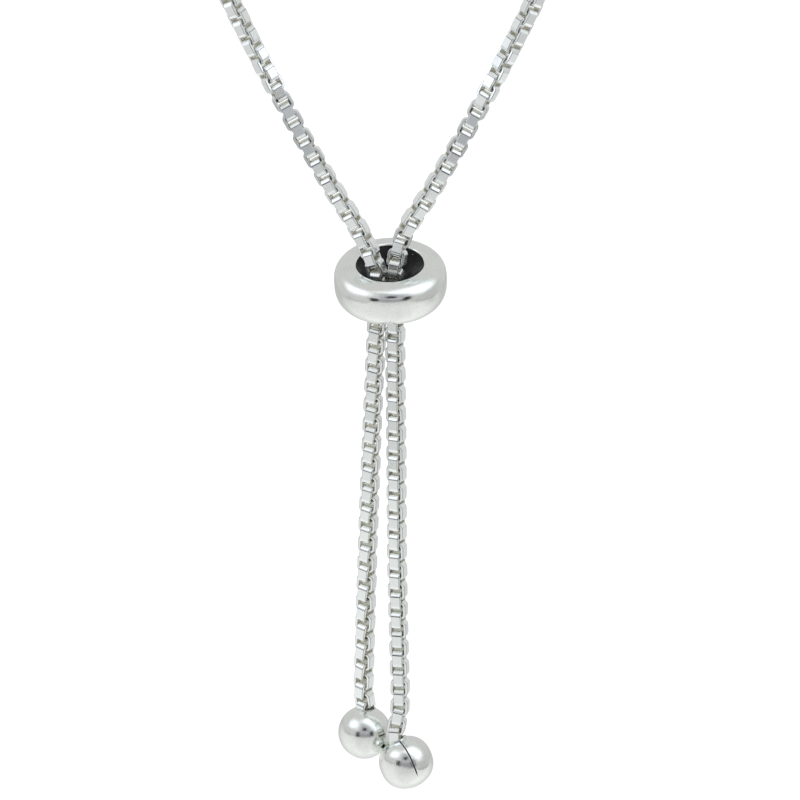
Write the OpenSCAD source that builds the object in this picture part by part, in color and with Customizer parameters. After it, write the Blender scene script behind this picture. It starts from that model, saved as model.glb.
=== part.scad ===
// Slider bracelet of fine silver box chain, hanging by its wrist loop.
// Millimetres, +Z up, +X to the right, +Y away from the viewer.
// The origin is the inside top of the wrist loop, where the wrist or a peg carries it.

/* [Wrist loop] */
// Radius of the chain's centre line in the round part of the loop
loop_r = 25; // [20:0.5:30]
// Angle between the straight part of each strand and the middle of the loop
strand_angle = 25; // [22:0.1:30]
// Extra angle that each strand has where it leaves the slider
bow_turn = 8; // [2:0.1:9]
// Length over which a strand bends out of that extra angle
bow_len = 24; // [10:1:30]
// Angle by which the loop leans back on its way up
loop_lean = 8; // [0:1:12]

/* [Chain] */
// Diameter of the tube that stands for the box links
chain_d = 1.28; // [1.2:0.02:1.3]
// Distance between the two strands inside the slider
strand_gap = 1.36; // [1.34:0.01:1.5]

/* [Slider] */
// Outer diameter of the silver ring
ring_d = 8.52; // [8:0.02:9.5]
// Diameter of the ring's hole
hole_d = 5.1; // [4.8:0.02:5.4]
// Thickness of the ring at its fattest
ring_h = 3.36; // [3:0.02:3.8]
// How far the top of the ring leans towards the viewer
slider_lean = 12.5; // [0:0.5:15]
// How far the ring's right side is raised
slider_roll = 1.7; // [0:0.1:4]

/* [End balls] */
// Diameter of the left ball
left_ball_d = 4.06; // [3.6:0.02:4.1]
// Diameter of the right ball
right_ball_d = 4.12; // [3.6:0.02:4.16]
// Diameter of the hole that holds the chain's end
ball_hole_d = 1.4; // [1.38:0.02:1.8]

/* [Hidden] */
$fn = 96;

chain_r = chain_d / 2;
clearance = 0.05;

// Directions of the leaning loop
loop_up = [0, sin(loop_lean), cos(loop_lean)];
loop_front = [0, cos(loop_lean), -sin(loop_lean)];

// A strand's path in the plane of the loop, as sideways and upward distance from the point where
// the two strands would meet: an arc of bow_len, then a straight line, then the round part
bow_r = bow_len * 180 / PI / bow_turn;
bow_angle = strand_angle + bow_turn;
function on_bow(along) =
    let (angle = bow_angle - bow_turn * along / bow_len)
    bow_r * [cos(angle) - cos(bow_angle), sin(bow_angle) - sin(angle)];
straight_len = (loop_r * cos(strand_angle) - on_bow(bow_len).x) / sin(strand_angle);
strand_len = bow_len + straight_len;
function on_strand(along) =
    on_bow(min(along, bow_len)) + max(along - bow_len, 0) * [sin(strand_angle), cos(strand_angle)];

// Places in the frame: centre of the round part, meeting point of the strands, centre of the slider
circle_drop = loop_r - chain_r;
circle_mid = -circle_drop * loop_up;
meet_drop = circle_drop + loop_r * sin(strand_angle) + on_strand(strand_len).y;
meet_point = -meet_drop * loop_up;
slider_centre = meet_point + [0.58, 0.57, -1.37];

// Axes of the tilted slider
slider_x = [cos(slider_roll), 0, sin(slider_roll)];
slider_z = [-sin(slider_roll) * cos(slider_lean), -sin(slider_lean), cos(slider_roll) * cos(slider_lean)];
slider_y = cross(slider_z, slider_x);
function in_slider(p) = slider_centre + p.x * slider_x + p.y * slider_y + p.z * slider_z;

// Where the chain runs through the core, in the slider's own axes
slot_mid = [-0.32, -0.45];
slot_left = slot_mid - [strand_gap / 2, 0];
slot_right = slot_mid + [strand_gap / 2, 0];
slot_end_z = 1.15;

// Ring section: one rounded outline from the rim of the hole to the outside
ring_mid_r = 2.69;
ring_half_w = ring_d / 2 - ring_mid_r;
ring_power = 2.8;
rim_bevel = 0.12;

// Core: a dish on both faces, lowest round the chain
core_r = hole_d / 2 - 0.02;
core_edge_z = 1.48;
core_mid_z = 0.75;

// Balls: centre, tilt of the axis in degrees about X and Y, distance of the flat ends
left_ball = slider_centre + [-2.0, -0.1, -37.07];
left_tilt = [-5.7, 2];
left_flat = 0.96;
right_ball = slider_centre + [1.19, -2.2, -38.68];
right_tilt = [-9.9, -22.8];
right_flat = 0.94;
hole_depth = 0.9;
end_depth = 0.6;
seam_w = 0.06;
seam_depth = 0.12;
seam_turn = 21.5;
function tilt_axis(t) = [sin(t.y) * cos(t.x), -sin(t.x), cos(t.y) * cos(t.x)];
left_axis = tilt_axis(left_tilt);
right_axis = tilt_axis(right_tilt);
left_end = left_ball + left_axis * (left_ball_d / 2 * left_flat - end_depth);
right_end = right_ball + right_axis * (right_ball_d / 2 * right_flat - end_depth);

// Hanging tails: hand-picked points, counted from the slider's centre
left_tail = [
    for (p = [[-1.06, -0.26, -4], [-1.23, -0.22, -8], [-1.44, -0.18, -13], [-1.62, -0.13, -18],
              [-1.81, -0.07, -24], [-1.98, 0, -30], [-2.05, 0.05, -33.8]])
        slider_centre + p
];
right_tail = [
    for (p = [[0.37, -0.36, -4], [0.39, -0.50, -8], [0.45, -0.70, -13], [0.47, -0.92, -18],
              [0.53, -1.20, -24], [0.66, -1.52, -30], [0.71, -1.74, -34.4]])
        slider_centre + p
];

// Strands: from a little above the slider to the round part
left_bend = 3;
right_bend = 3;
strand_steps = 13;
function strand(side, bend) = [
    for (i = [0:strand_steps])
        let (p = on_strand(bend + (strand_len - bend) * i / strand_steps))
        meet_point + [side * p.x, 0, 0] + p.y * loop_up
];

// Round part, from the left tangent point over the top to the right one
arc_steps = 30;
arc_half = 90 + strand_angle;
function on_circle(a) = circle_mid + loop_r * (sin(a) * [1, 0, 0] + cos(a) * loop_up);
round_part = [for (i = [1:arc_steps - 1]) on_circle(arc_half * (2 * i / arc_steps - 1))];

function reversed(list) = [for (i = [len(list) - 1:-1:0]) list[i]];
function slot_run(at) = [in_slider([at.x, at.y, -slot_end_z]), in_slider([at.x, at.y, slot_end_z])];

// Whole route of the chain, from the left ball to the right ball
route = concat(
    [left_end, left_end + left_axis * 0.8],
    reversed(left_tail),
    slot_run(slot_left),
    strand(-1, left_bend),
    round_part,
    reversed(strand(1, right_bend)),
    reversed(slot_run(slot_right)),
    right_tail,
    [right_end + right_axis * 0.8, right_end]
);

function unit(v) = v / norm(v);

// One ring of the tube: at each route point, square to the mean of the two directions there
sides = 8;
function direction(i) =
    let (last = len(route) - 1)
    unit(unit(route[min(i + 1, last)] - route[min(i, last - 1)])
         + unit(route[max(i, 1)] - route[max(i - 1, 0)]));
function ring_at(i) =
    let (along = direction(i), across = unit(cross(along, loop_front)), out = cross(along, across))
    [for (k = [0:sides - 1])
        route[i] + chain_r * (cos(360 * (k + 0.5) / sides) * across + sin(360 * (k + 0.5) / sides) * out)];

module box_chain() {
    rings = len(route);
    points = [for (i = [0:rings - 1]) each ring_at(i)];
    walls = [
        for (i = [0:rings - 2], k = [0:sides - 1])
            let (k2 = (k + 1) % sides)
            [i * sides + k, i * sides + k2, (i + 1) * sides + k2, (i + 1) * sides + k]
    ];
    first_cap = [for (k = [sides - 1:-1:0]) k];
    last_cap = [for (k = [0:sides - 1]) (rings - 1) * sides + k];
    color("silver") polyhedron(points, concat(walls, [first_cap, last_cap]), convexity = 10);
}

module place_slider() {
    multmatrix([
        [slider_x.x, slider_y.x, slider_z.x, slider_centre.x],
        [slider_x.y, slider_y.y, slider_z.y, slider_centre.y],
        [slider_x.z, slider_y.z, slider_z.z, slider_centre.z],
        [0, 0, 0, 1]
    ])
        children();
}

// Height of the ring's outline above its middle plane at radius r
function ring_top(r) =
    ring_h / 2 * pow(1 - pow(abs(r - ring_mid_r) / ring_half_w, ring_power), 1 / ring_power);

module ring_section() {
    hole_r = hole_d / 2;
    steps = 22;
    start = hole_r + rim_bevel;
    // Radii bunched towards the outside, where the outline turns fastest
    radii = [for (i = [0:steps]) start + (ring_d / 2 - start) * sin(90 * i / steps)];
    upper = [for (r = radii) [r, r == ring_d / 2 ? 0 : ring_top(r)]];
    lower = [for (i = [steps - 1:-1:0]) [upper[i].x, -upper[i].y]];
    wall_z = ring_top(start) - rim_bevel;
    polygon(concat([[hole_r, -wall_z], [hole_r, wall_z]], upper, lower));
}

module slider_ring() {
    color("silver") place_slider() rotate_extrude() ring_section();
}

module core_blank() {
    dish_drop = core_edge_z - core_mid_z;
    dish_r = (core_r * core_r + dish_drop * dish_drop) / (2 * dish_drop);
    difference() {
        cylinder(h = 2 * core_edge_z, r = core_r, center = true);
        for (side = [-1, 1])
            translate([0, 0, side * (core_mid_z + dish_r)]) sphere(r = dish_r);
    }
}

module slider_core() {
    slot_r = chain_r + clearance;
    color([0.06, 0.06, 0.07]) place_slider() difference() {
        core_blank();
        for (at = [slot_left, slot_right])
            translate([at.x, at.y, -ring_h]) cylinder(h = 2 * ring_h, r = slot_r);
        translate([slot_left.x, slot_mid.y - slot_r, -ring_h]) cube([strand_gap, 2 * slot_r, 2 * ring_h]);
    }
}

// A ball with flattened ends and a blind hole in its upper end
module drilled_ball(d, flat) {
    end_z = d / 2 * flat;
    difference() {
        intersection() {
            sphere(d = d);
            cube([d, d, 2 * end_z], center = true);
        }
        translate([0, 0, end_z - hole_depth]) cylinder(h = d, d = ball_hole_d);
    }
}

module end_ball_left() {
    color("silver") translate(left_ball) rotate([left_tilt.x, left_tilt.y, 0])
        drilled_ball(left_ball_d, left_flat);
}

module end_ball_right() {
    r = right_ball_d / 2;
    color("silver") translate(right_ball) rotate([right_tilt.x, right_tilt.y, 0]) difference() {
        drilled_ball(right_ball_d, right_flat);
        // Closed seam down the side that faces the viewer
        rotate([0, 0, seam_turn]) difference() {
            translate([-seam_w / 2, -2 * r, -r]) cube([seam_w, 2 * r, 2 * r]);
            sphere(r = r - seam_depth);
        }
    }
}

box_chain();
slider_ring();
slider_core();
end_ball_left();
end_ball_right();
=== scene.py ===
import math
import bpy
import numpy as np
from mathutils import Matrix, Vector


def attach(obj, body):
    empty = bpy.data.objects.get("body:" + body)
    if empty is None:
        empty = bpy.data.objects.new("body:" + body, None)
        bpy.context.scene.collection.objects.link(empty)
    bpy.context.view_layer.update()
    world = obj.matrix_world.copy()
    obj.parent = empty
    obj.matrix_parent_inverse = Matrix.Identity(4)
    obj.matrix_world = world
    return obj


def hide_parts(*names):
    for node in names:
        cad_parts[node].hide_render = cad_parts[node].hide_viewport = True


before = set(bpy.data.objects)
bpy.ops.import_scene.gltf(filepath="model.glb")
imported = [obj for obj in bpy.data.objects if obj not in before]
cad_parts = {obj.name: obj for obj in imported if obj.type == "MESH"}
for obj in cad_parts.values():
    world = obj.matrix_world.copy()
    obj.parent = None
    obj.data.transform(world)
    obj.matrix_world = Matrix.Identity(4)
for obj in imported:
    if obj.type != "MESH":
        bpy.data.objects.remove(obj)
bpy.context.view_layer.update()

# Slider bracelet of fine silver box chain, hanging by its wrist loop.
# All sizes below are in millimetres and degrees; MM turns them into Blender's metres.
MM = 0.001


def sin(degrees):
    return math.sin(math.radians(degrees))


def cos(degrees):
    return math.cos(math.radians(degrees))


def vec(*numbers):
    return np.array(numbers, dtype=float)


def unit(v):
    return v / np.linalg.norm(v)


def smooth_step(low, high, x):
    t = np.clip((np.asarray(x, dtype=float) - low) / (high - low), 0, 1)
    return t * t * (3 - 2 * t)


# Wrist loop, the same values as in part.scad
LOOP_R = 25
STRAND_ANGLE = 25
BOW_TURN = 8
BOW_LEN = 24
LOOP_LEAN = 8
CHAIN_R = 0.64

# Slider, the same values as in part.scad
RING_D = 8.52
HOLE_D = 5.1
SLIDER_LEAN = 12.5
SLIDER_ROLL = 1.7
STRAND_GAP = 1.36
SLOT_MID = (-0.32, -0.45)

# Directions of the leaning loop
LOOP_UP = vec(0, sin(LOOP_LEAN), cos(LOOP_LEAN))
LOOP_FRONT = vec(0, cos(LOOP_LEAN), -sin(LOOP_LEAN))

# Each strand is an arc of BOW_LEN and then a straight line up to the round part
BOW_R = BOW_LEN / math.radians(BOW_TURN)
BOW_ANGLE = STRAND_ANGLE + BOW_TURN


def on_strand(along):
    """Sideways and upward distance from the point where the strands would meet."""
    bowed = min(along, BOW_LEN)
    angle = BOW_ANGLE - BOW_TURN * bowed / BOW_LEN
    arc = BOW_R * vec(cos(angle) - cos(BOW_ANGLE), sin(BOW_ANGLE) - sin(angle))
    return arc + max(along - BOW_LEN, 0) * vec(sin(STRAND_ANGLE), cos(STRAND_ANGLE))


STRAIGHT_LEN = (LOOP_R * cos(STRAND_ANGLE) - on_strand(BOW_LEN)[0]) / sin(STRAND_ANGLE)
STRAND_LEN = BOW_LEN + STRAIGHT_LEN
CIRCLE_MID = -(LOOP_R - CHAIN_R) * LOOP_UP
MEET_DROP = LOOP_R - CHAIN_R + LOOP_R * sin(STRAND_ANGLE) + on_strand(STRAND_LEN)[1]
MEET_POINT = -MEET_DROP * LOOP_UP
SLIDER = MEET_POINT + vec(0.58, 0.57, -1.37)
SLIDER_X = vec(cos(SLIDER_ROLL), 0, sin(SLIDER_ROLL))
SLIDER_Z = vec(
    -sin(SLIDER_ROLL) * cos(SLIDER_LEAN), -sin(SLIDER_LEAN), cos(SLIDER_ROLL) * cos(SLIDER_LEAN)
)
SLIDER_Y = np.cross(SLIDER_Z, SLIDER_X)

# End balls, the same values as in part.scad: centre, tilt of the axis in degrees about X and Y,
# diameter, and where the flat ends lie as a share of the radius
LEFT_BALL = SLIDER + vec(-2.0, -0.1, -37.07)
RIGHT_BALL = SLIDER + vec(1.19, -2.2, -38.68)


def tilt_axis(tilt_x, tilt_y):
    return vec(sin(tilt_y) * cos(tilt_x), -sin(tilt_x), cos(tilt_y) * cos(tilt_x))


LEFT_TILT = (-5.7, 2)
RIGHT_TILT = (-9.9, -22.8)
LEFT_D, LEFT_FLAT = 4.06, 0.96
RIGHT_D, RIGHT_FLAT = 4.12, 0.94
# How deep the chain's ends reach into the balls
END_DEPTH = 0.6
LEFT_AXIS = tilt_axis(*LEFT_TILT)
RIGHT_AXIS = tilt_axis(*RIGHT_TILT)


# The camera stands at the photograph's angle, well back, as for a long lens
CAMERA_PITCH = 21.6
CAMERA_DISTANCE = 750
CAMERA_LENS = 447
SENSOR_WIDTH = 36
# How far the middle of the picture lies to the right of the slider's middle, and below it
AIM_RIGHT, AIM_BELOW = 0.717, 8.985
# Nearest and farthest that the camera sees, in metres
CLIP_NEAR, CLIP_FAR = 0.01, 50


def make_camera():
    forward = vec(0, cos(CAMERA_PITCH), -sin(CAMERA_PITCH))
    up = vec(0, sin(CAMERA_PITCH), cos(CAMERA_PITCH))
    place = SLIDER + vec(AIM_RIGHT, 0, 0) - CAMERA_DISTANCE * forward - AIM_BELOW * up
    data = bpy.data.cameras.new("camera")
    data.lens = CAMERA_LENS
    data.sensor_width = SENSOR_WIDTH
    data.clip_start = CLIP_NEAR
    data.clip_end = CLIP_FAR
    camera = bpy.data.objects.new("camera", data)
    camera.location = Vector(place * MM)
    camera.rotation_euler = (math.radians(90 - CAMERA_PITCH), 0, 0)
    bpy.context.collection.objects.link(camera)
    bpy.context.scene.camera = camera


# Materials: a small kit of node helpers
class Nodes:
    """Adds nodes to a tree and links them, with the output socket as the result."""

    def __init__(self, tree):
        self.tree = tree
        self.tree.nodes.clear()

    def add(self, kind, settings=None, **inputs):
        node = self.tree.nodes.new(kind)
        for key, value in (settings or {}).items():
            setattr(node, key, value)
        for name, value in inputs.items():
            self.put(node.inputs[name.replace("_", " ")], value)
        return node

    def put(self, socket, value):
        if isinstance(value, bpy.types.NodeSocket):
            self.tree.links.new(value, socket)
        else:
            socket.default_value = value

    def math(self, operation, a, b=None):
        node = self.tree.nodes.new("ShaderNodeMath")
        node.operation = operation
        self.put(node.inputs[0], a)
        if b is not None:
            self.put(node.inputs[1], b)
        return node.outputs[0]

    def dot(self, vector, direction):
        node = self.tree.nodes.new("ShaderNodeVectorMath")
        node.operation = "DOT_PRODUCT"
        self.put(node.inputs[0], vector)
        node.inputs[1].default_value = list(direction)
        return node.outputs["Value"]

    def ramp(self, value, low, high, at_low=0.0, at_high=1.0, smooth=True):
        node = self.tree.nodes.new("ShaderNodeMapRange")
        node.interpolation_type = "SMOOTHSTEP" if smooth else "LINEAR"
        for socket, v in zip(node.inputs, (value, low, high, at_low, at_high)):
            self.put(socket, v)
        return node.outputs[0]

    def mix(self, share, a, b):
        node = self.tree.nodes.new("ShaderNodeMix")
        node.data_type = "RGBA"
        self.put(node.inputs["Factor"], share)
        self.put(node.inputs[6], a)
        self.put(node.inputs[7], b)
        return node.outputs[2]

    def scaled(self, scale, rotation=(0, 0, 0)):
        """Object coordinates in millimetres, stretched by scale."""
        place = self.add("ShaderNodeTexCoord").outputs["Object"]
        node = self.add("ShaderNodeMapping", Vector=place)
        node.inputs["Scale"].default_value = [s / MM for s in scale]
        node.inputs["Rotation"].default_value = [math.radians(a) for a in rotation]
        return node.outputs["Vector"]

    def noise(self, vector, scale=1.0, detail=3.0, roughness=0.5):
        node = self.add("ShaderNodeTexNoise", Vector=vector)
        node.inputs["Scale"].default_value = scale
        node.inputs["Detail"].default_value = detail
        node.inputs["Roughness"].default_value = roughness
        return node.outputs["Fac"]

    def bump(self, height, distance, normal=None):
        """Bump of a height from 0 to 1 that stands for a distance in millimetres."""
        node = self.add("ShaderNodeBump", Height=height)
        node.inputs["Strength"].default_value = 1
        node.inputs["Distance"].default_value = distance * MM
        if normal is not None:
            self.put(node.inputs["Normal"], normal)
        return node.outputs["Normal"]

    def attribute(self, name):
        node = self.add("ShaderNodeAttribute")
        node.attribute_name = name
        return node.outputs["Fac"]


def new_material(name):
    material = bpy.data.materials.new(name)
    material.use_nodes = True
    nodes = Nodes(material.node_tree)
    surface = nodes.add("ShaderNodeBsdfPrincipled")
    output = nodes.add("ShaderNodeOutputMaterial")
    nodes.tree.links.new(surface.outputs[0], output.inputs[0])
    return material, nodes, surface


BRIGHT_SILVER = (0.922, 0.95, 0.912, 1)
WORN_SILVER = (0.838, 0.865, 0.828, 1)
# The chain's silver is painted lighter than the ring's and the balls': a lit copy of the same silver
LIT_LINK_SILVER = (0.96, 0.998, 0.985, 1)
LIT_WORN_LINK = (0.92, 0.955, 0.94, 1)
# Beige of the links' insides, tarnish with painted shade, and of the painted shade on their ends
TARNISH_AND_SHADE = (0.86, 0.835, 0.72, 1)
# Dark colour of the painted shade lines on the links' edges and creases and in the ball's seam
SHADE_LINE = (0.07, 0.066, 0.075, 1)
# How metallic the silver still is where its tarnish and painted shade are full, and how much rougher
TARNISH_SHADE_METALLIC, TARNISH_SHADE_DULL = 0.6, 0.2
# Two sets of hairline scratches: stretch, turn in degrees, level of the noise they follow, half width
HAIRLINES = [((9, 1.1, 9), (25, 0, 38), 0.5, 0.012), ((1.3, 10, 10), (0, 31, -20), 0.52, 0.010)]
HAIRLINE_DEPTH, HAIRLINE_DULL = 0.0006, 0.10


def silver(name, bright, worn, rough, streak_scale, streak_depth, grain_depth, metallic=1.0):
    """Polished silver with cloudy wear, streaks, hairline scratches, tarnish with painted shade, and painted
    lines of shade.

    Wear goes from the bright colour to the worn one, and roughness lies between the two values of rough.
    """
    material, n, surface = new_material(name)
    place = n.scaled((1, 1, 1))
    cloud = n.noise(place, scale=1.1, detail=4)
    grain = n.noise(place, scale=9, roughness=0.6)
    streaks = n.noise(n.scaled(streak_scale), detail=4, roughness=0.65)
    hairs = []
    for scale, turn, level, half_width in HAIRLINES:
        scratch = n.noise(n.scaled(scale, turn), detail=2)
        hairs.append(n.ramp(n.math("ABSOLUTE", n.math("SUBTRACT", scratch, level)), 0, half_width, 1, 0))
    hair = n.math("MAXIMUM", *hairs)
    speck = n.ramp(n.noise(place, scale=19, detail=1), 0.64, 0.74, 0.0, 0.5)
    wear = n.math("ADD", n.math("MULTIPLY", cloud, 0.4), n.math("MULTIPLY", grain, 0.6))
    color = n.mix(n.math("ADD", n.ramp(wear, 0.4, 0.65), speck), bright, worn)
    # recess paints tarnish with shade into the links' insides, and painted shade onto their ends
    recess = n.attribute("recess")
    # line paints lines of shade on the links' edges and creases, and in the ball's seam
    line = n.attribute("line")
    n.put(surface.inputs["Base Color"], n.mix(line, n.mix(recess, color, TARNISH_AND_SHADE), SHADE_LINE))
    n.put(surface.inputs["Metallic"], n.ramp(recess, 0, 1, metallic, TARNISH_SHADE_METALLIC, smooth=False))
    low, high = rough
    spread = n.math("ADD", n.math("MULTIPLY", cloud, 0.5), n.math("MULTIPLY", grain, 0.5))
    base_rough = n.ramp(spread, 0.3, 0.7, low, high)
    dull = n.math("ADD", n.math("MULTIPLY", hair, HAIRLINE_DULL), n.math("MULTIPLY", recess, TARNISH_SHADE_DULL))
    n.put(surface.inputs["Roughness"], n.math("ADD", base_rough, dull))
    relief = n.bump(streaks, streak_depth)
    relief = n.bump(hair, -HAIRLINE_DEPTH, relief)
    n.put(surface.inputs["Normal"], n.bump(grain, grain_depth, relief))
    return material


SILICONE_BLACK = (0.003, 0.003, 0.004, 1)
SILICONE_GREY = (0.008, 0.008, 0.009, 1)
DUST = (0.35, 0.34, 0.31, 1)


def silicone(name):
    """Glossy black silicone with a soft moulded skin and a few dust flecks."""
    material, n, surface = new_material(name)
    place = n.scaled((1, 1, 1))
    skin = n.noise(place, scale=2.2, detail=4)
    grain = n.noise(place, scale=14, detail=2)
    specks = n.add("ShaderNodeTexVoronoi", Vector=place)
    specks.inputs["Scale"].default_value = 1.7
    fleck = n.ramp(specks.outputs["Distance"], 0.05, 0.09, 1, 0)
    color = n.mix(n.ramp(skin, 0.3, 0.8), SILICONE_BLACK, SILICONE_GREY)
    n.put(surface.inputs["Base Color"], n.mix(n.math("MULTIPLY", fleck, 0.8), color, DUST))
    rough = n.ramp(skin, 0.3, 0.7, 0.06, 0.14)
    n.put(surface.inputs["Roughness"], n.math("ADD", rough, n.math("MULTIPLY", fleck, 0.3)))
    surface.inputs["IOR"].default_value = 1.38
    surface.inputs["Specular IOR Level"].default_value = 0.22
    n.put(surface.inputs["Normal"], n.bump(grain, 0.003, n.bump(skin, 0.05)))
    return material


# Meshes
def new_piece(name, verts, faces, material, replaces=(), normals=None, attributes=None):
    """One mesh object that rides on the body, from points in millimetres in the frame."""
    mesh = bpy.data.meshes.new(name)
    mesh.from_pydata((np.asarray(verts) * MM).tolist(), [], [list(f) for f in faces])
    mesh.polygons.foreach_set("use_smooth", [True] * len(mesh.polygons))
    for key, values in (attributes or {}).items():
        layer = mesh.attributes.new(key, "FLOAT", "POINT")
        layer.data.foreach_set("value", np.asarray(values, dtype=np.float32))
    mesh.materials.append(material)
    if normals is not None:
        mesh.normals_split_custom_set_from_vertices(np.asarray(normals).tolist())
    piece = bpy.data.objects.new(name, mesh)
    bpy.context.collection.objects.link(piece)
    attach(piece, "root")
    if replaces:
        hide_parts(*replaces)


def grid_faces(rows, columns, closed=False):
    """Quads between rows of points that close on themselves; closed joins the last row to the first."""
    faces = []
    for i in range(rows if closed else rows - 1):
        a = i * columns
        b = (i + 1) % rows * columns
        for k in range(columns):
            k2 = (k + 1) % columns
            faces.append((a + k, a + k2, b + k2, b + k))
    return faces


def lathe(profile, angles, centre, axes, shift, closed=False):
    """Turns a profile of (radius, height) about the last of three axes; shift moves points radially."""
    x_axis, y_axis, z_axis = axes
    verts = []
    for r, z in profile:
        for a in angles:
            radius = r + shift(r, z, a)
            verts.append(centre + radius * (math.cos(a) * x_axis + math.sin(a) * y_axis) + z * z_axis)
    return np.array(verts), grid_faces(len(profile), len(angles), closed)


# Route of the chain through the same points as in part.scad; those of the tails count from the slider
LEFT_TAIL = [
    (-1.06, -0.26, -4), (-1.23, -0.22, -8), (-1.44, -0.18, -13), (-1.62, -0.13, -18),
    (-1.81, -0.07, -24), (-1.98, 0, -30), (-2.05, 0.05, -33.8),
]
RIGHT_TAIL = [
    (0.37, -0.36, -4), (0.39, -0.50, -8), (0.45, -0.70, -13), (0.47, -0.92, -18),
    (0.53, -1.20, -24), (0.66, -1.52, -30), (0.71, -1.74, -34.4),
]
# How far the chain runs straight out of a ball
BALL_RUN = 0.8
SLOT_END_Z = 1.15
# Where a strand's first point lies, along it from where the strands would meet
BEND = 3
STRAND_STEPS = 13
ARC_STEPS = 30


def hanging_points(axis_end, axis, offsets):
    """Points from the chain's end in a ball, along the ball's axis and up the tail."""
    return [axis_end, axis_end + axis * BALL_RUN] + [SLIDER + vec(*p) for p in reversed(offsets)]


def in_slider(x, y, z):
    return SLIDER + x * SLIDER_X + y * SLIDER_Y + z * SLIDER_Z


def slot_run(x):
    return [in_slider(x, SLOT_MID[1], -SLOT_END_Z), in_slider(x, SLOT_MID[1], SLOT_END_Z)]


def strand(side):
    points = []
    for i in range(STRAND_STEPS + 1):
        sideways, up = on_strand(BEND + (STRAND_LEN - BEND) * i / STRAND_STEPS)
        points.append(MEET_POINT + vec(side * sideways, 0, 0) + up * LOOP_UP)
    return points


def on_circle(angle):
    return CIRCLE_MID + LOOP_R * (sin(angle) * vec(1, 0, 0) + cos(angle) * LOOP_UP)


class Route:
    """A smooth curve through the same points as the tube in part.scad, by arc length."""

    def __init__(self):
        left_end = LEFT_BALL + LEFT_AXIS * (LEFT_D / 2 * LEFT_FLAT - END_DEPTH)
        right_end = RIGHT_BALL + RIGHT_AXIS * (RIGHT_D / 2 * RIGHT_FLAT - END_DEPTH)
        half = 90 + STRAND_ANGLE
        legs = {
            "left_tail": hanging_points(left_end, LEFT_AXIS, LEFT_TAIL),
            "left_slot": slot_run(SLOT_MID[0] - STRAND_GAP / 2),
            "left_strand": strand(-1),
            "round": [on_circle(half * (2 * i / ARC_STEPS - 1)) for i in range(1, ARC_STEPS)],
            "right_strand": strand(1)[::-1],
            "right_slot": slot_run(SLOT_MID[0] + STRAND_GAP / 2)[::-1],
            "right_tail": hanging_points(right_end, RIGHT_AXIS, RIGHT_TAIL)[::-1],
        }
        knots = [p for leg in legs.values() for p in leg]
        self.points, knot_index = self.through(knots)
        steps = np.linalg.norm(np.diff(self.points, axis=0), axis=1)
        self.along = np.concatenate([[0], np.cumsum(steps)])
        self.length = self.along[-1]
        self.start = {}
        first = 0
        for name, leg in legs.items():
            self.start[name] = self.along[knot_index[first]]
            first += len(leg)

    @staticmethod
    def through(knots, fine=14):
        """Centripetal curve through the knots, with fine steps between two, and the knots' places in it."""
        k = [2 * knots[0] - knots[1]] + list(knots) + [2 * knots[-1] - knots[-2]]
        points, index = [], []
        for i in range(1, len(k) - 2):
            a, b, c, d = k[i - 1], k[i], k[i + 1], k[i + 2]
            t0 = 0.0
            t1 = math.sqrt(np.linalg.norm(b - a))
            t2 = t1 + math.sqrt(np.linalg.norm(c - b))
            t3 = t2 + math.sqrt(np.linalg.norm(d - c))
            index.append(len(points))
            for t in np.linspace(t1, t2, fine, endpoint=False):
                ab = a + (b - a) * (t - t0) / (t1 - t0)
                bc = b + (c - b) * (t - t1) / (t2 - t1)
                cd = c + (d - c) * (t - t2) / (t3 - t2)
                abc = ab + (bc - ab) * (t - t0) / (t2 - t0)
                bcd = bc + (cd - bc) * (t - t1) / (t3 - t1)
                points.append(abc + (bcd - abc) * (t - t1) / (t2 - t1))
        index.append(len(points))
        points.append(k[-2])
        return np.array(points), index

    def at(self, s):
        return np.array([np.interp(s, self.along, self.points[:, i]) for i in range(3)])

    def direction(self, s, reach=0.4):
        """Direction from reach before s to reach after it."""
        return unit(self.at(min(s + reach, self.length)) - self.at(max(s - reach, 0)))


# A box link: a flat strip bent into a rounded square ring
LINK_LONG = 1.42
LINK_ACROSS = 1.37
STRIP_W = 0.80
STRIP_T = 0.24
CORNER_R = 0.40
EDGE_R = 0.07
# Where a corner's points lie, in degrees from the side's flat face, closest together at the crease
CORNER_BENDS = (0, 5, 11, 17, 31, 45, 60, 75, 90)
EDGE_POINTS = 4
# Start of each quarter turn, and the signs of its corner's place
QUARTERS = ((0, 1, 1), (90, -1, 1), (180, -1, -1), (270, 1, -1))
# Painted shade outside on the link's two ends, where the neighbouring links shade them: strength, and the
# sines of the bend between which it sets in
END_SHADE, END_FROM, END_TO = 0.5, 0.8, 0.97
# Painted shade along the rounded edges of every link's strip
EDGE_SHADE = 0.42
# The sines of the bend between which the painted shade of the crease lies
CREASE_FROM, CREASE_TO = 0.15, 0.25


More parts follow.
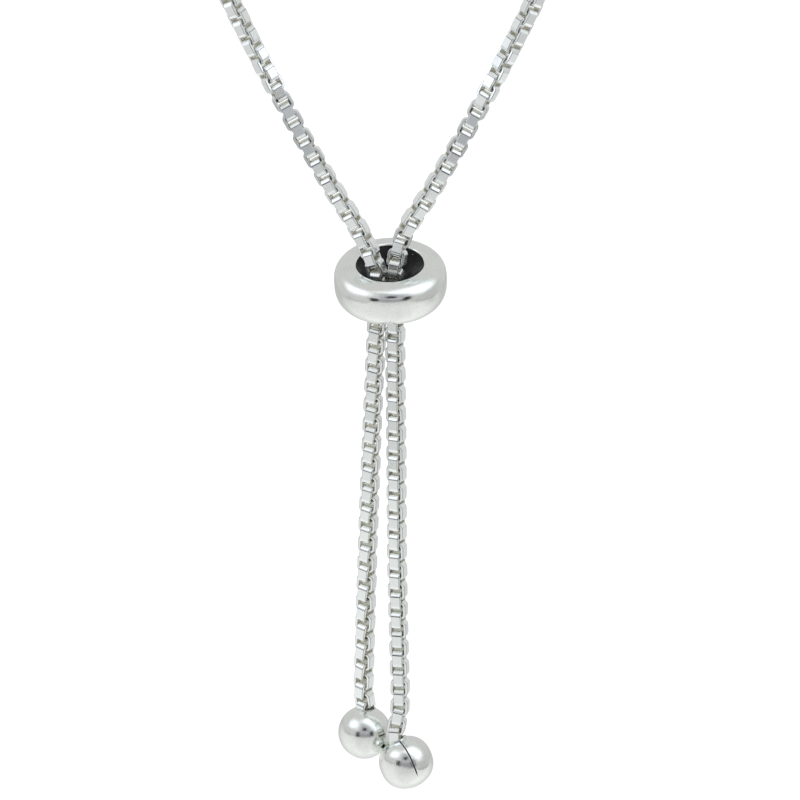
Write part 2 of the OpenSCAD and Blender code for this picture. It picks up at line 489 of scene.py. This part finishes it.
def link_template():
    """Points, normals and faces of one link, and for each point tarnish with painted shade, painted shade on
    the edges and painted shade in the crease.

    The link's sides face x, its ends face z. The crease's painted shade is 1 at the upper end and -1 at the
    lower one.
    """
    mid_r = CORNER_R - STRIP_T / 2
    half_x = LINK_ACROSS / 2 - CORNER_R
    half_z = LINK_LONG / 2 - CORNER_R
    half_t = STRIP_T / 2 - EDGE_R
    half_w = STRIP_W / 2 - EDGE_R
    path, section = [], []
    for turn, sign_a, sign_b in QUARTERS:
        from_end = turn in (90, 270)
        for bend in [90 - b for b in reversed(CORNER_BENDS)] if from_end else CORNER_BENDS:
            a = turn + bend
            path.append((sign_a * half_x + mid_r * cos(a), sign_b * half_z + mid_r * sin(a), a))
        for a in np.linspace(turn, turn + 90, EDGE_POINTS):
            section.append((sign_a * half_t + EDGE_R * cos(a), sign_b * half_w + EDGE_R * sin(a), a))
    side = vec(0, 1, 0)
    verts, normals, recess, edge, crease = [], [], [], [], []
    for px, pz, pa in path:
        out = vec(cos(pa), 0, sin(pa))
        at_end = abs(sin(pa))
        in_crease = CREASE_FROM < at_end < CREASE_TO
        for sn, sy, sa in section:
            verts.append(vec(px, 0, pz) + sn * out + sy * side)
            normals.append(cos(sa) * out + sin(sa) * side)
            # Inner faces get tarnish with painted shade, the outside of the ends gets painted shade
            end = END_SHADE * float(smooth_step(END_FROM, END_TO, at_end)) if cos(sa) > 0 else 0.0
            recess.append(max(-cos(sa), end, 0.0))
            # Painted shade on the rounded edges
            edge.append(EDGE_SHADE if 10 < sa % 90 < 80 else 0.0)
            # Painted shade in the crease between the face and its bend
            crease.append(math.copysign(1, sin(pa)) if in_crease and cos(sa) > 0.5 else 0.0)
    faces = grid_faces(len(path), len(section), closed=True)
    return np.array(verts), np.array(normals), faces, np.array(recess), np.array(edge), np.array(crease)


# Where some links have their centres: leg of the route, millimetres from its start, and the link's number.
# The links with even numbers are the ones whose flat faces look to the viewer.
LINK_PLACES = [
    ("left_tail", 0.55, 0), ("left_tail", 26.69, 32),
    ("left_strand", -0.41, 48), ("left_strand", 10.97, 62),
    ("right_strand", 35.23, 276), ("right_strand", 46.61, 290),
    ("right_tail", 5.75, 308), ("right_tail", 32.58, 342),
]

# Roll of the chain: leg of the route, millimetres from its start, and roll in degrees, positive where
# the faces turn away from the middle of the loop
ROLL = [
    ("left_tail", 0, 33), ("left_tail", 12, 22), ("left_tail", 24, 13), ("left_tail", 33, 11),
    ("left_slot", 0.5, 10), ("left_slot", 4, 28),
    ("left_strand", 0, 25), ("left_strand", 4.5, 13), ("left_strand", 9.3, 1), ("left_strand", 11, -4),
    ("left_strand", 12.6, -21), ("left_strand", 14.2, -37), ("left_strand", 15.9, -45),
    ("left_strand", 19.1, -58), ("left_strand", 22, -60), ("left_strand", 42, -40),
    ("round", 20, 0), ("round", 77, 0),
    ("right_strand", 8, -40), ("right_strand", 26, -60), ("right_strand", 28.7, -58),
    ("right_strand", 32, -45), ("right_strand", 33.6, -37), ("right_strand", 35.2, -21),
    ("right_strand", 36.9, -4), ("right_strand", 38.5, 1), ("right_strand", 42, 13),
    ("right_strand", 46.5, 22), ("right_strand", 47.9, -17),
    ("right_slot", 1.5, -18),
    ("right_tail", 0, -25), ("right_tail", 17, -26), ("right_tail", 25, -15), ("right_tail", 33, -11),
]

# Pieces whose even links sit askew: extra roll, and turn about their face's normal, in degrees
ASKEW = {"chain_left_tail": {"roll": 9, "turn": 6}}
# Every link sits a little unevenly: usual error of its roll and of its lean, in degrees
ROLL_JITTER, LEAN_JITTER = 1.6, 1.0
JITTER_SEED = 7


def chain_pieces(route, material):
    """All box links, each leg of the route joined into one piece."""
    verts, normals, faces, recess, edge, crease = link_template()
    count = LINK_PLACES[-1][2] + 1
    known_links = [i for _, _, i in LINK_PLACES]
    known_places = [route.start[leg] + s for leg, s, _ in LINK_PLACES]
    places = np.interp(range(count), known_links, known_places)
    roll_at = [route.start[leg] + s for leg, s, _ in ROLL]
    roll_by = [roll for _, _, roll in ROLL]
    jitter = np.random.RandomState(JITTER_SEED).normal(0, 1, (count, 2))
    cuts = [
        ("chain_left_tail", route.start["left_slot"] + SLOT_END_Z),
        ("chain_left_strand", route.start["round"]),
        ("chain_round", route.start["right_strand"]),
        ("chain_right_strand", route.start["right_slot"] + SLOT_END_Z),
        ("chain_right_tail", route.length + 1),
    ]
    made = {name: {"verts": [], "normals": [], "faces": [], "recess": [], "line": []} for name, _ in cuts}
    for i, s in enumerate(places):
        to_viewer = i % 2 == 0
        name = next(n for n, end in cuts if s < end)
        askew = ASKEW.get(name) if to_viewer else None
        roll = np.interp(s, roll_at, roll_by) + ROLL_JITTER * jitter[i, 0] + (0 if to_viewer else 90)
        if askew:
            roll += askew["roll"]
        along = route.direction(s)
        inward = unit(np.cross(LOOP_FRONT, along))
        x_axis = -sin(roll) * inward - cos(roll) * LOOP_FRONT
        along = unit(along + math.radians(LEAN_JITTER * jitter[i, 1]) * x_axis)
        x_axis = unit(x_axis - np.dot(x_axis, along) * along)
        if askew:
            along = cos(askew["turn"]) * along + sin(askew["turn"]) * np.cross(along, x_axis)
        turn = np.stack([x_axis, np.cross(along, x_axis), along])
        # A link whose face looks to the viewer gets painted shade in its crease, at the end that hangs
        # higher, as light from above would leave it
        upper_crease_shade = crease * math.copysign(1, along[2])
        piece = made[name]
        start = len(piece["verts"]) * len(verts)
        piece["verts"].append(verts @ turn + route.at(s))
        piece["normals"].append(normals @ turn)
        piece["faces"] += [tuple(k + start for k in face) for face in faces]
        piece["recess"].append(recess)
        piece["line"].append(np.maximum(edge, upper_crease_shade) if to_viewer else edge)
    for name, piece in made.items():
        new_piece(
            name, np.concatenate(piece["verts"]), piece["faces"], material,
            replaces=("box_chain",) if name == cuts[0][0] else (),
            normals=np.concatenate(piece["normals"]),
            attributes={key: np.concatenate(piece[key]) for key in ("recess", "line")},
        )


# Slider ring
RING_MID_R = 2.69
RIM_BEVEL = 0.12
# The rim of the hole, soft at both ends of its bevel: distances outward from the hole and down from its top
RIM_POINTS = [(0, 0.17), (0, 0.12), (0.02, 0.085), (0.085, 0.015)]
# The real section is a little fuller than in part.scad: height of its widest place, and the reach
# above and below it with the power that rounds each half
RING_WIDEST = 0.15
RING_ABOVE, POWER_ABOVE = 1.50, 2.8
RING_BELOW, POWER_BELOW = 1.855, 2.85
RING_ROWS, RING_COLUMNS = 60, 288
# Slow waves that make the turned ring uneven: height, number round the ring, twist with the height, start
RING_WAVES = [(0.006, 3, 1.3, 0), (0.004, 7, -2.1, 0.6)]


def ring_piece(material):
    half_w = RING_D / 2 - RING_MID_R
    hole_r = HOLE_D / 2
    start_r = hole_r + RIM_BEVEL

    def outline(reach, power):
        """Radius and height from the rim of the hole out to the widest place."""
        inset = (RING_MID_R - start_r) / half_w
        start = math.acos(-math.copysign(abs(inset) ** (power / 2), inset))
        points = []
        for a in np.linspace(start, 0, RING_ROWS):
            c, s = math.cos(a), math.sin(a)
            r = RING_MID_R + half_w * math.copysign(abs(c) ** (2 / power), c)
            points.append((r, reach * max(s, 0) ** (2 / power)))
        return [(hole_r + out, points[0][1] - drop) for out, drop in RIM_POINTS] + points

    above = [(r, RING_WIDEST + z) for r, z in outline(RING_ABOVE, POWER_ABOVE)]
    below = [(r, RING_WIDEST - z) for r, z in outline(RING_BELOW, POWER_BELOW)]
    profile = above + below[-2::-1]
    angles = np.linspace(0, 2 * math.pi, RING_COLUMNS, endpoint=False)

    def uneven(r, z, a):
        return sum(height * math.sin(number * a + twist * z + at) for height, number, twist, at in RING_WAVES)

    verts, faces = lathe(profile, angles, SLIDER, (SLIDER_X, SLIDER_Y, SLIDER_Z), uneven, closed=True)
    new_piece("ring", verts, [f[::-1] for f in faces], material, ("slider_ring",))


# Core, with the same edge, middle and outside as in part.scad
CORE_EDGE_Z = 1.48
CORE_MID_Z = 0.75
CORE_R = HOLE_D / 2 - 0.02
# Room between the chain and the slot's wall
SLOT_ROOM = 0.03
# Dimple that the chain presses into each face: depth, and its slope's distances from the chain's middle
DIMPLE, DIMPLE_FROM, DIMPLE_TO = 0.16, 0.75, 1.35
CORE_ROWS, CORE_COLUMNS = 30, 192
# How fast the slot's columns of points leave its straight walls for its round ends
WALL_SPREAD = 3


def core_top(x, y):
    """Height of the core's upper face: a dish with a dimple round the chain."""
    drop = CORE_EDGE_Z - CORE_MID_Z
    dish_r = (CORE_R**2 + drop**2) / (2 * drop)
    dish = CORE_MID_Z + dish_r - math.sqrt(max(dish_r**2 - (x * x + y * y), 0))
    reach = math.hypot(max(abs(x - SLOT_MID[0]) - STRAND_GAP / 2, 0), y - SLOT_MID[1])
    return dish - DIMPLE * (1 - float(smooth_step(DIMPLE_FROM, DIMPLE_TO, reach)))


def core_piece(material):
    """A closed solid round the slot: top and bottom faces, the outside and the slot's wall."""
    slot_r = CHAIN_R + SLOT_ROOM
    inner, outer = [], []
    for a in np.linspace(0, 2 * math.pi, CORE_COLUMNS, endpoint=False):
        c, s = math.cos(a), math.sin(a)
        x = SLOT_MID[0] + slot_r * c + math.copysign(min(abs(c) * WALL_SPREAD, 1), c) * STRAND_GAP / 2
        inner.append((x, SLOT_MID[1] + slot_r * s))
        outer.append((CORE_R * c, CORE_R * s))
    rows = []
    for sign in (1, -1):
        face = []
        for i in range(CORE_ROWS + 1):
            t = i / CORE_ROWS
            row = []
            for (xi, yi), (xo, yo) in zip(inner, outer):
                x, y = xi + (xo - xi) * t, yi + (yo - yi) * t
                row.append((x, y, sign * core_top(x, y)))
            face.append(row)
        rows += face if sign > 0 else face[::-1]
    verts = np.array([in_slider(*p) for row in rows for p in row])
    faces = grid_faces(len(rows), CORE_COLUMNS, closed=True)
    new_piece("core", verts, [f[::-1] for f in faces], material, ("slider_core",))


# End balls
HOLE_IN_BALL_D = 1.4
HOLE_DEPTH = 0.9
# The right ball is squarer in section, like a barrel
LEFT_POWER, RIGHT_POWER = 2.0, 2.25
# Its outline would close at this many times the height of the flat ends, which cut it off
OUTLINE_BEYOND = 1.012
# Angle before a flat end at which the outline turns into it, and the rounding's points as shares
END_TURN = 8
END_SHARES = (0.2, 0.45, 0.7, 0.95)
# The hole's lip and bore: distances outward from the hole's wall and down from the flat end
LIP_POINTS = [(0.10, 0.004), (0.04, 0.012), (0.01, 0.04), (0, 0.09), (0, 0.4)]
BALL_ROWS, BALL_COLUMNS = 97, 192
# Seam of the right ball: place round it, depth, where its wall lies off its middle, and where it fades out
SEAM_TURN = 21.5
SEAM_DEPTH = 0.10
SEAM_WALL_IN, SEAM_WALL_OUT = 0.018, 0.060
SEAM_GONE_Z, SEAM_FULL_Z = -1.1, -0.4
# Nearer to the axis than this the ball has no seam
SEAM_MIN_R = 0.8
# Depth at which the groove's painted shade is full
SEAM_SHADE_DEPTH = 0.06
# Extra columns of points on both sides of the seam, in degrees, and the width that they replace
SEAM_COLUMNS = (0.15, 0.5, 0.8, 1.1, 1.4, 1.7, 2.1, 2.6)
SEAM_CLEAR = 3.2


def ball_profile(d, flat, power):
    """Section from the bottom pole, round the outside, over the lip and down the hole."""
    r = d / 2
    hole_r = HOLE_IN_BALL_D / 2
    end_z = r * flat
    reach = r if power == 2 else end_z * OUTLINE_BEYOND
    last = math.degrees(math.asin((end_z / reach) ** (power / 2))) - END_TURN
    body = []
    for a in np.linspace(-last, last, BALL_ROWS):
        c, s = cos(a), sin(a)
        body.append((r * c ** (2 / power), reach * math.copysign(abs(s) ** (2 / power), s)))
    edge_r, edge_z = body[-1]
    ends = [
        (edge_r * (1 - 0.25 * t), edge_z + (end_z - edge_z) * (1 - (1 - t) ** 2))
        for t in END_SHARES
    ]
    lip = [(hole_r + out, end_z - drop) for out, drop in LIP_POINTS]
    floor_z = end_z - HOLE_DEPTH
    hole_floor = [(hole_r, floor_z + 0.03), (hole_r - 0.03, floor_z), (0.001, floor_z)]
    bottom = [(0.001, -end_z), (0.3, -end_z), (0.55, -end_z)]
    return bottom + [(x, -z) for x, z in reversed(ends)] + body + ends + lip + hole_floor


def ball_piece(name, node, centre, tilt, d, flat, power, material, seam=False):
    tilt_x, tilt_y = (math.radians(angle) for angle in tilt)
    rotation = Matrix.Rotation(tilt_y, 3, "Y") @ Matrix.Rotation(tilt_x, 3, "X")
    axes = [np.array(rotation.col[i]) for i in range(3)]
    angles = list(np.linspace(0, 2 * math.pi, BALL_COLUMNS, endpoint=False))
    seam_at = math.radians(SEAM_TURN - 90)

    def from_seam(a):
        return (a - seam_at + math.pi) % (2 * math.pi) - math.pi

    if seam:
        near = [side * degrees for degrees in SEAM_COLUMNS for side in (-1, 1)]
        angles = [a for a in angles if abs(from_seam(a)) > math.radians(SEAM_CLEAR)]
        angles = sorted(angles + [(seam_at + math.radians(degrees)) % (2 * math.pi) for degrees in near])

    def groove(r, z, a):
        if not seam or r < SEAM_MIN_R:
            return 0
        off = abs(from_seam(a)) * r
        fade = float(smooth_step(SEAM_GONE_Z, SEAM_FULL_Z, z))
        return -SEAM_DEPTH * fade * (1 - float(smooth_step(SEAM_WALL_IN, SEAM_WALL_OUT, off)))

    profile = ball_profile(d, flat, power)
    verts, faces = lathe(profile, angles, centre, axes, groove)
    # Painted shade in the seam's groove, darker where it is deeper
    dark = [min(1.0, groove(r, z, a) / -SEAM_SHADE_DEPTH) for r, z in profile for a in angles]
    new_piece(name, verts, faces, material, (node,), attributes={"line": dark})


# Studio: a white floor far below, under a wide sun that no reflection shows
# Half the floor's width and its height, in metres
FLOOR_HALF, FLOOR_Z = 6, -0.7
FLOOR_WHITE, FLOOR_ROUGH = (0.92, 0.92, 0.92, 1), 0.9
# Strength of the sun and its width in degrees
SUN_LIGHT, SUN_WIDTH = 1.6, 120


def make_floor():
    """The floor and the sun that lights it."""
    mesh = bpy.data.meshes.new("floor")
    corners = [(FLOOR_HALF * x, FLOOR_HALF * y, FLOOR_Z) for x, y in ((-1, -1), (1, -1), (1, 1), (-1, 1))]
    mesh.from_pydata(corners, [], [(0, 1, 2, 3)])
    floor = bpy.data.objects.new("floor", mesh)
    bpy.context.collection.objects.link(floor)
    material, _, surface = new_material("floor_white")
    surface.inputs["Base Color"].default_value = FLOOR_WHITE
    surface.inputs["Roughness"].default_value = FLOOR_ROUGH
    mesh.materials.append(material)
    floor.visible_glossy = False
    light = bpy.data.lights.new("floor_light", "SUN")
    light.energy = SUN_LIGHT
    light.angle = math.radians(SUN_WIDTH)
    lamp = bpy.data.objects.new("floor_light", light)
    lamp.visible_glossy = False
    bpy.context.collection.objects.link(lamp)


# Soft light comes from a small tent round the bracelet. Its light goes by direction from its middle:
# azimuth counts from the camera's side towards +X, elevation from level.
TENT_MIDDLE = SLIDER + vec(0, 0, -18)
# Azimuth, and distance of the tent's wall there, below level and above WALL_STEP degrees
TENT_WALL = [
    (-180, 300, 300), (-130, 62, 97), (-50, 62, 97), (-25, 180, 180),
    (30, 180, 180), (55, 121, 400), (130, 121, 400), (180, 300, 300),
]
WALL_STEP = 20
# Distance of the tent's top and bottom, and the power that rounds the wall into them
TENT_TOP, TENT_BOTTOM, TENT_POWER = 300, 120, 6
# Rows and columns of the tent's mesh, and the elevation of its first and last row
TENT_ROWS, TENT_COLUMNS, TENT_END = 60, 120, 89.5
WALL_LIGHT = 0.63
# Light of the table below, and what it gains towards straight down
TABLE_LIGHT, TABLE_GAIN = 0.60, 0.27
# How much dimmer the table is behind the bracelet, and how far back that sets in
TABLE_BEHIND, BEHIND_FROM, BEHIND_TO = 0.12, 0.2, 0.8
# Left and right side: azimuth, and how far from it they begin to fade and are gone
SIDE_AZ, SIDE_FULL, SIDE_GONE = 80, 15, 55
# What they add: to the table, to the low wall, and to the table's far edge in degrees
LEFT_SIDE = {"table": 0.08, "low_wall": -0.02, "edge": -10.4}
RIGHT_SIDE = {"table": 0.11, "low_wall": -0.09, "edge": -15.3}
LOW_WALL_TOP = 35
TABLE_EDGE, EDGE_SOFT = -7.5, 3.0
# Dark line just above the table's far edge: strength and height at both sides, and in front
EDGE_LINE, EDGE_LINE_HIGH = 0.38, 8.0
FRONT_LINE, FRONT_LINE_HIGH, FRONT_LINE_FADE = 0.32, 22.0, 16.0
# Dim front, where the camera stands: middle, half width and fade in azimuth, upper end and half its fade
FRONT_DIM = {"az": 5.1, "half": 23.7, "fade": 9.8, "top": 58, "top_fade": 8, "light": 0.14}
# Flat softboxes: middle, turn about it, half width and height as angles, soft edge and strength
SOFTBOXES = [
    {"az": -71.0, "el": 34.4, "turn": 21.7, "half_w": 23.0, "half_h": 17.0, "edge": 26, "light": 0.72},
    {"az": 65.3, "el": 49.0, "turn": -73.2, "half_w": 34.6, "half_h": 22.0, "edge": 26, "light": 0.72},
]
SOFTBOX_TINT = (0.92, 0.965, 1.09, 1)
# Share of that tint in the dim front
FRONT_TINT = 0.5
# Bright strip overhead: middle, half width and fade in azimuth, both ends and half their fades, strength
OVERHEAD = {
    "az": -2, "half": 52, "fade": 18, "low": 60, "low_fade": 4, "high": 80, "high_fade": 6, "light": 0.24,
}
# Openings at the camera's side that show dark
DARK_SPOTS = [
    {"az": 0.3, "el": 30.5, "half_az": 11.0, "half_el": 9.0},
    {"az": -31.0, "el": 3.5, "half_az": 9.0, "half_el": 13.0},
    {"az": 32.0, "el": 7.5, "half_az": 9.0, "half_el": 12.5},
]
# How much their outlines are ragged and how finely, and where they are fully dark and end
RAGGED, RAGGED_SCALE = 0.9, 11.0
SPOT_FULL, SPOT_GONE = 0.5, 1.1


def toward(azimuth, elevation):
    return vec(sin(azimuth) * cos(elevation), -cos(azimuth) * cos(elevation), sin(elevation))


def sky_light(n, direction):
    """Strength and colour of the tent's light as node sockets, from a direction of length 1."""
    x, y, z = n.add("ShaderNodeSeparateXYZ", Vector=direction).outputs
    azimuth = n.math("DEGREES", n.math("ARCTAN2", x, n.math("MULTIPLY", y, -1.0)))
    elevation = n.math("DEGREES", n.math("ARCSINE", z))

    def off(value, middle):
        return n.math("ABSOLUTE", n.math("SUBTRACT", value, float(middle)))

    def near(value, middle, half, edge):
        return n.ramp(off(value, middle), half - edge / 2, half + edge / 2, 1.0, 0.0)

    def past(value, limit, fade, before=0.0, after=1.0):
        return n.ramp(value, limit - fade, limit + fade, before, after)

    def add(a, b):
        return n.math("ADD", a, b)

    def times(a, b):
        return n.math("MULTIPLY", a, b)

    def softbox(p):
        """1 in the middle of a softbox, 0 outside."""
        az, turn = p["az"], p["turn"]
        middle = toward(az, p["el"])
        across = vec(cos(az), sin(az), 0)
        up = np.cross(across, -middle)
        wide = cos(turn) * across + sin(turn) * up
        high = cos(turn) * up - sin(turn) * across
        ahead, side, rise = (n.dot(direction, v) for v in (middle, wide, high))
        ahead = n.math("MAXIMUM", ahead, 0.02)
        return times(
            near(n.math("DEGREES", n.math("ARCTAN2", side, ahead)), 0, p["half_w"], p["edge"]),
            near(n.math("DEGREES", n.math("ARCTAN2", rise, ahead)), 0, p["half_h"], p["edge"]),
        )

    def dark_spot(p, ragged):
        """1 in the middle of a dark opening, 0 outside, with a ragged outline."""
        a = n.math("POWER", n.math("DIVIDE", off(azimuth, p["az"]), p["half_az"]), 4.0)
        e = n.math("POWER", n.math("DIVIDE", off(elevation, p["el"]), p["half_el"]), 4.0)
        return n.ramp(add(add(a, e), ragged), SPOT_FULL, SPOT_GONE, 1.0, 0.0)

    left = n.ramp(off(azimuth, -SIDE_AZ), SIDE_FULL, SIDE_GONE, 1.0, 0.0)
    right = n.ramp(off(azimuth, SIDE_AZ), SIDE_FULL, SIDE_GONE, 1.0, 0.0)

    def both_sides(key):
        return add(times(left, LEFT_SIDE[key]), times(right, RIGHT_SIDE[key]))

    down = n.math("MAXIMUM", times(z, -1.0), 0.0)
    table = add(add(times(down, TABLE_GAIN), TABLE_LIGHT), both_sides("table"))
    table = n.math("SUBTRACT", table, times(n.ramp(y, BEHIND_FROM, BEHIND_TO), TABLE_BEHIND))
    front = times(
        near(azimuth, FRONT_DIM["az"], FRONT_DIM["half"] + FRONT_DIM["fade"] / 2, FRONT_DIM["fade"]),
        past(elevation, FRONT_DIM["top"], FRONT_DIM["top_fade"], 1.0, 0.0),
    )
    walls = n.math("SUBTRACT", WALL_LIGHT, times(front, FRONT_DIM["light"]))
    walls = add(walls, times(both_sides("low_wall"), n.ramp(elevation, 0, LOW_WALL_TOP, 1.0, 0.0)))
    above = n.math("SUBTRACT", elevation, add(both_sides("edge"), TABLE_EDGE))
    in_front = near(azimuth, FRONT_DIM["az"], FRONT_DIM["half"], FRONT_LINE_FADE)
    line = add(
        times(times(add(left, right), EDGE_LINE), n.ramp(above, 0, EDGE_LINE_HIGH, 1.0, 0.0)),
        times(times(in_front, FRONT_LINE), n.ramp(above, FRONT_LINE_HIGH / 2, FRONT_LINE_HIGH, 1.0, 0.0)),
    )
    walls = times(walls, n.math("SUBTRACT", 1.0, line))
    overhead = times(
        near(azimuth, OVERHEAD["az"], OVERHEAD["half"], OVERHEAD["fade"]),
        times(
            past(elevation, OVERHEAD["low"], OVERHEAD["low_fade"]),
            past(elevation, OVERHEAD["high"], OVERHEAD["high_fade"], 1.0, 0.0),
        ),
    )
    walls = add(walls, times(overhead, OVERHEAD["light"]))
    ragged = times(n.math("SUBTRACT", n.noise(direction, RAGGED_SCALE), 0.5), RAGGED)
    for p in DARK_SPOTS:
        walls = times(walls, n.math("SUBTRACT", 1.0, dark_spot(p, ragged)))
    tint = times(front, FRONT_TINT)
    for p in SOFTBOXES:
        share = softbox(p)
        tint = n.math("MAXIMUM", share, tint)
        walls = add(walls, times(share, p["light"]))
    wall_share = past(above, 0, EDGE_SOFT)
    strength = add(times(walls, wall_share), times(table, n.math("SUBTRACT", 1.0, wall_share)))
    return strength, n.mix(times(tint, wall_share), (1, 1, 1, 1), SOFTBOX_TINT)


def make_tent():
    """A closed glowing wall round TENT_MIDDLE, which only reflections see."""
    azimuths, low_walls, high_walls = zip(*TENT_WALL)
    verts = []
    for el in np.linspace(-TENT_END, TENT_END, TENT_ROWS):
        for az in np.linspace(-180, 180, TENT_COLUMNS, endpoint=False):
            low_wall = np.interp(az, azimuths, low_walls)
            high_wall = np.interp(az, azimuths, high_walls)
            wall = low_wall + (high_wall - low_wall) * float(smooth_step(0, WALL_STEP, el))
            cap = TENT_TOP if el > 0 else TENT_BOTTOM
            nearness = (cos(el) / wall) ** TENT_POWER + (abs(sin(el)) / cap) ** TENT_POWER
            r = nearness ** (-1 / TENT_POWER)
            verts.append(r * toward(az, el))
    caps = [list(range(TENT_COLUMNS)), list(range((TENT_ROWS - 1) * TENT_COLUMNS, TENT_ROWS * TENT_COLUMNS))]
    faces = grid_faces(TENT_ROWS, TENT_COLUMNS) + caps
    mesh = bpy.data.meshes.new("light_tent")
    mesh.from_pydata((np.array(verts) * MM).tolist(), [], faces)
    material = bpy.data.materials.new("tent_light")
    material.use_nodes = True
    n = Nodes(material.node_tree)
    place = n.add("ShaderNodeTexCoord").outputs["Object"]
    direction = n.add("ShaderNodeVectorMath", {"operation": "NORMALIZE"}, Vector=place).outputs["Vector"]
    strength, color = sky_light(n, direction)
    glow = n.add("ShaderNodeEmission", Color=color, Strength=strength)
    n.add("ShaderNodeOutputMaterial", Surface=glow.outputs[0])
    material.cycles.emission_sampling = "NONE"
    mesh.materials.append(material)
    tent = bpy.data.objects.new("light_tent", mesh)
    tent.location = Vector(TENT_MIDDLE * MM)
    bpy.context.collection.objects.link(tent)
    tent.visible_camera = False
    tent.visible_diffuse = False
    tent.visible_transmission = False
    tent.visible_volume_scatter = False
    tent.visible_shadow = False


WORLD_LIGHT = 0.7


def make_world():
    """Even soft light for what isn't a reflection, and white behind everything."""
    world = bpy.data.worlds.new("studio")
    bpy.context.scene.world = world
    world.use_nodes = True
    n = Nodes(world.node_tree)
    seen = n.add("ShaderNodeBackground", Color=(1, 1, 1, 1), Strength=1.0)
    lit = n.add("ShaderNodeBackground", Color=(1, 1, 1, 1), Strength=WORLD_LIGHT)
    which = n.add("ShaderNodeLightPath").outputs["Is Camera Ray"]
    both = n.add("ShaderNodeMixShader")
    n.put(both.inputs[0], which)
    n.put(both.inputs[1], lit.outputs[0])
    n.put(both.inputs[2], seen.outputs[0])
    n.add("ShaderNodeOutputWorld", Surface=both.outputs[0])
    world.cycles_visibility.glossy = False


make_camera()
make_world()
make_tent()
make_floor()
bpy.context.scene.view_settings.view_transform = "Standard"

# The chain uses the lighter, painted lit copy of the silver
chain_silver = silver(
    "chain_silver_look", LIT_LINK_SILVER, LIT_WORN_LINK, rough=(0.08, 0.15),
    streak_scale=(14, 14, 3), streak_depth=0.002, grain_depth=0.003, metallic=0.86,
)
ring_silver = silver(
    "ring_silver_look", BRIGHT_SILVER, WORN_SILVER, rough=(0.07, 0.16),
    streak_scale=(2, 2, 16), streak_depth=0.002, grain_depth=0.004,
)
ball_silver = silver(
    "ball_silver_look", BRIGHT_SILVER, WORN_SILVER, rough=(0.03, 0.08),
    streak_scale=(18, 18, 2), streak_depth=0.006, grain_depth=0.001,
)
black_silicone = silicone("black_silicone_look")

chain_pieces(Route(), chain_silver)
ring_piece(ring_silver)
core_piece(black_silicone)
ball_piece("ball_left", "end_ball_left", LEFT_BALL, LEFT_TILT, LEFT_D, LEFT_FLAT, LEFT_POWER, ball_silver)
ball_piece(
    "ball_right", "end_ball_right", RIGHT_BALL, RIGHT_TILT, RIGHT_D, RIGHT_FLAT, RIGHT_POWER,
    ball_silver, seam=True,
)
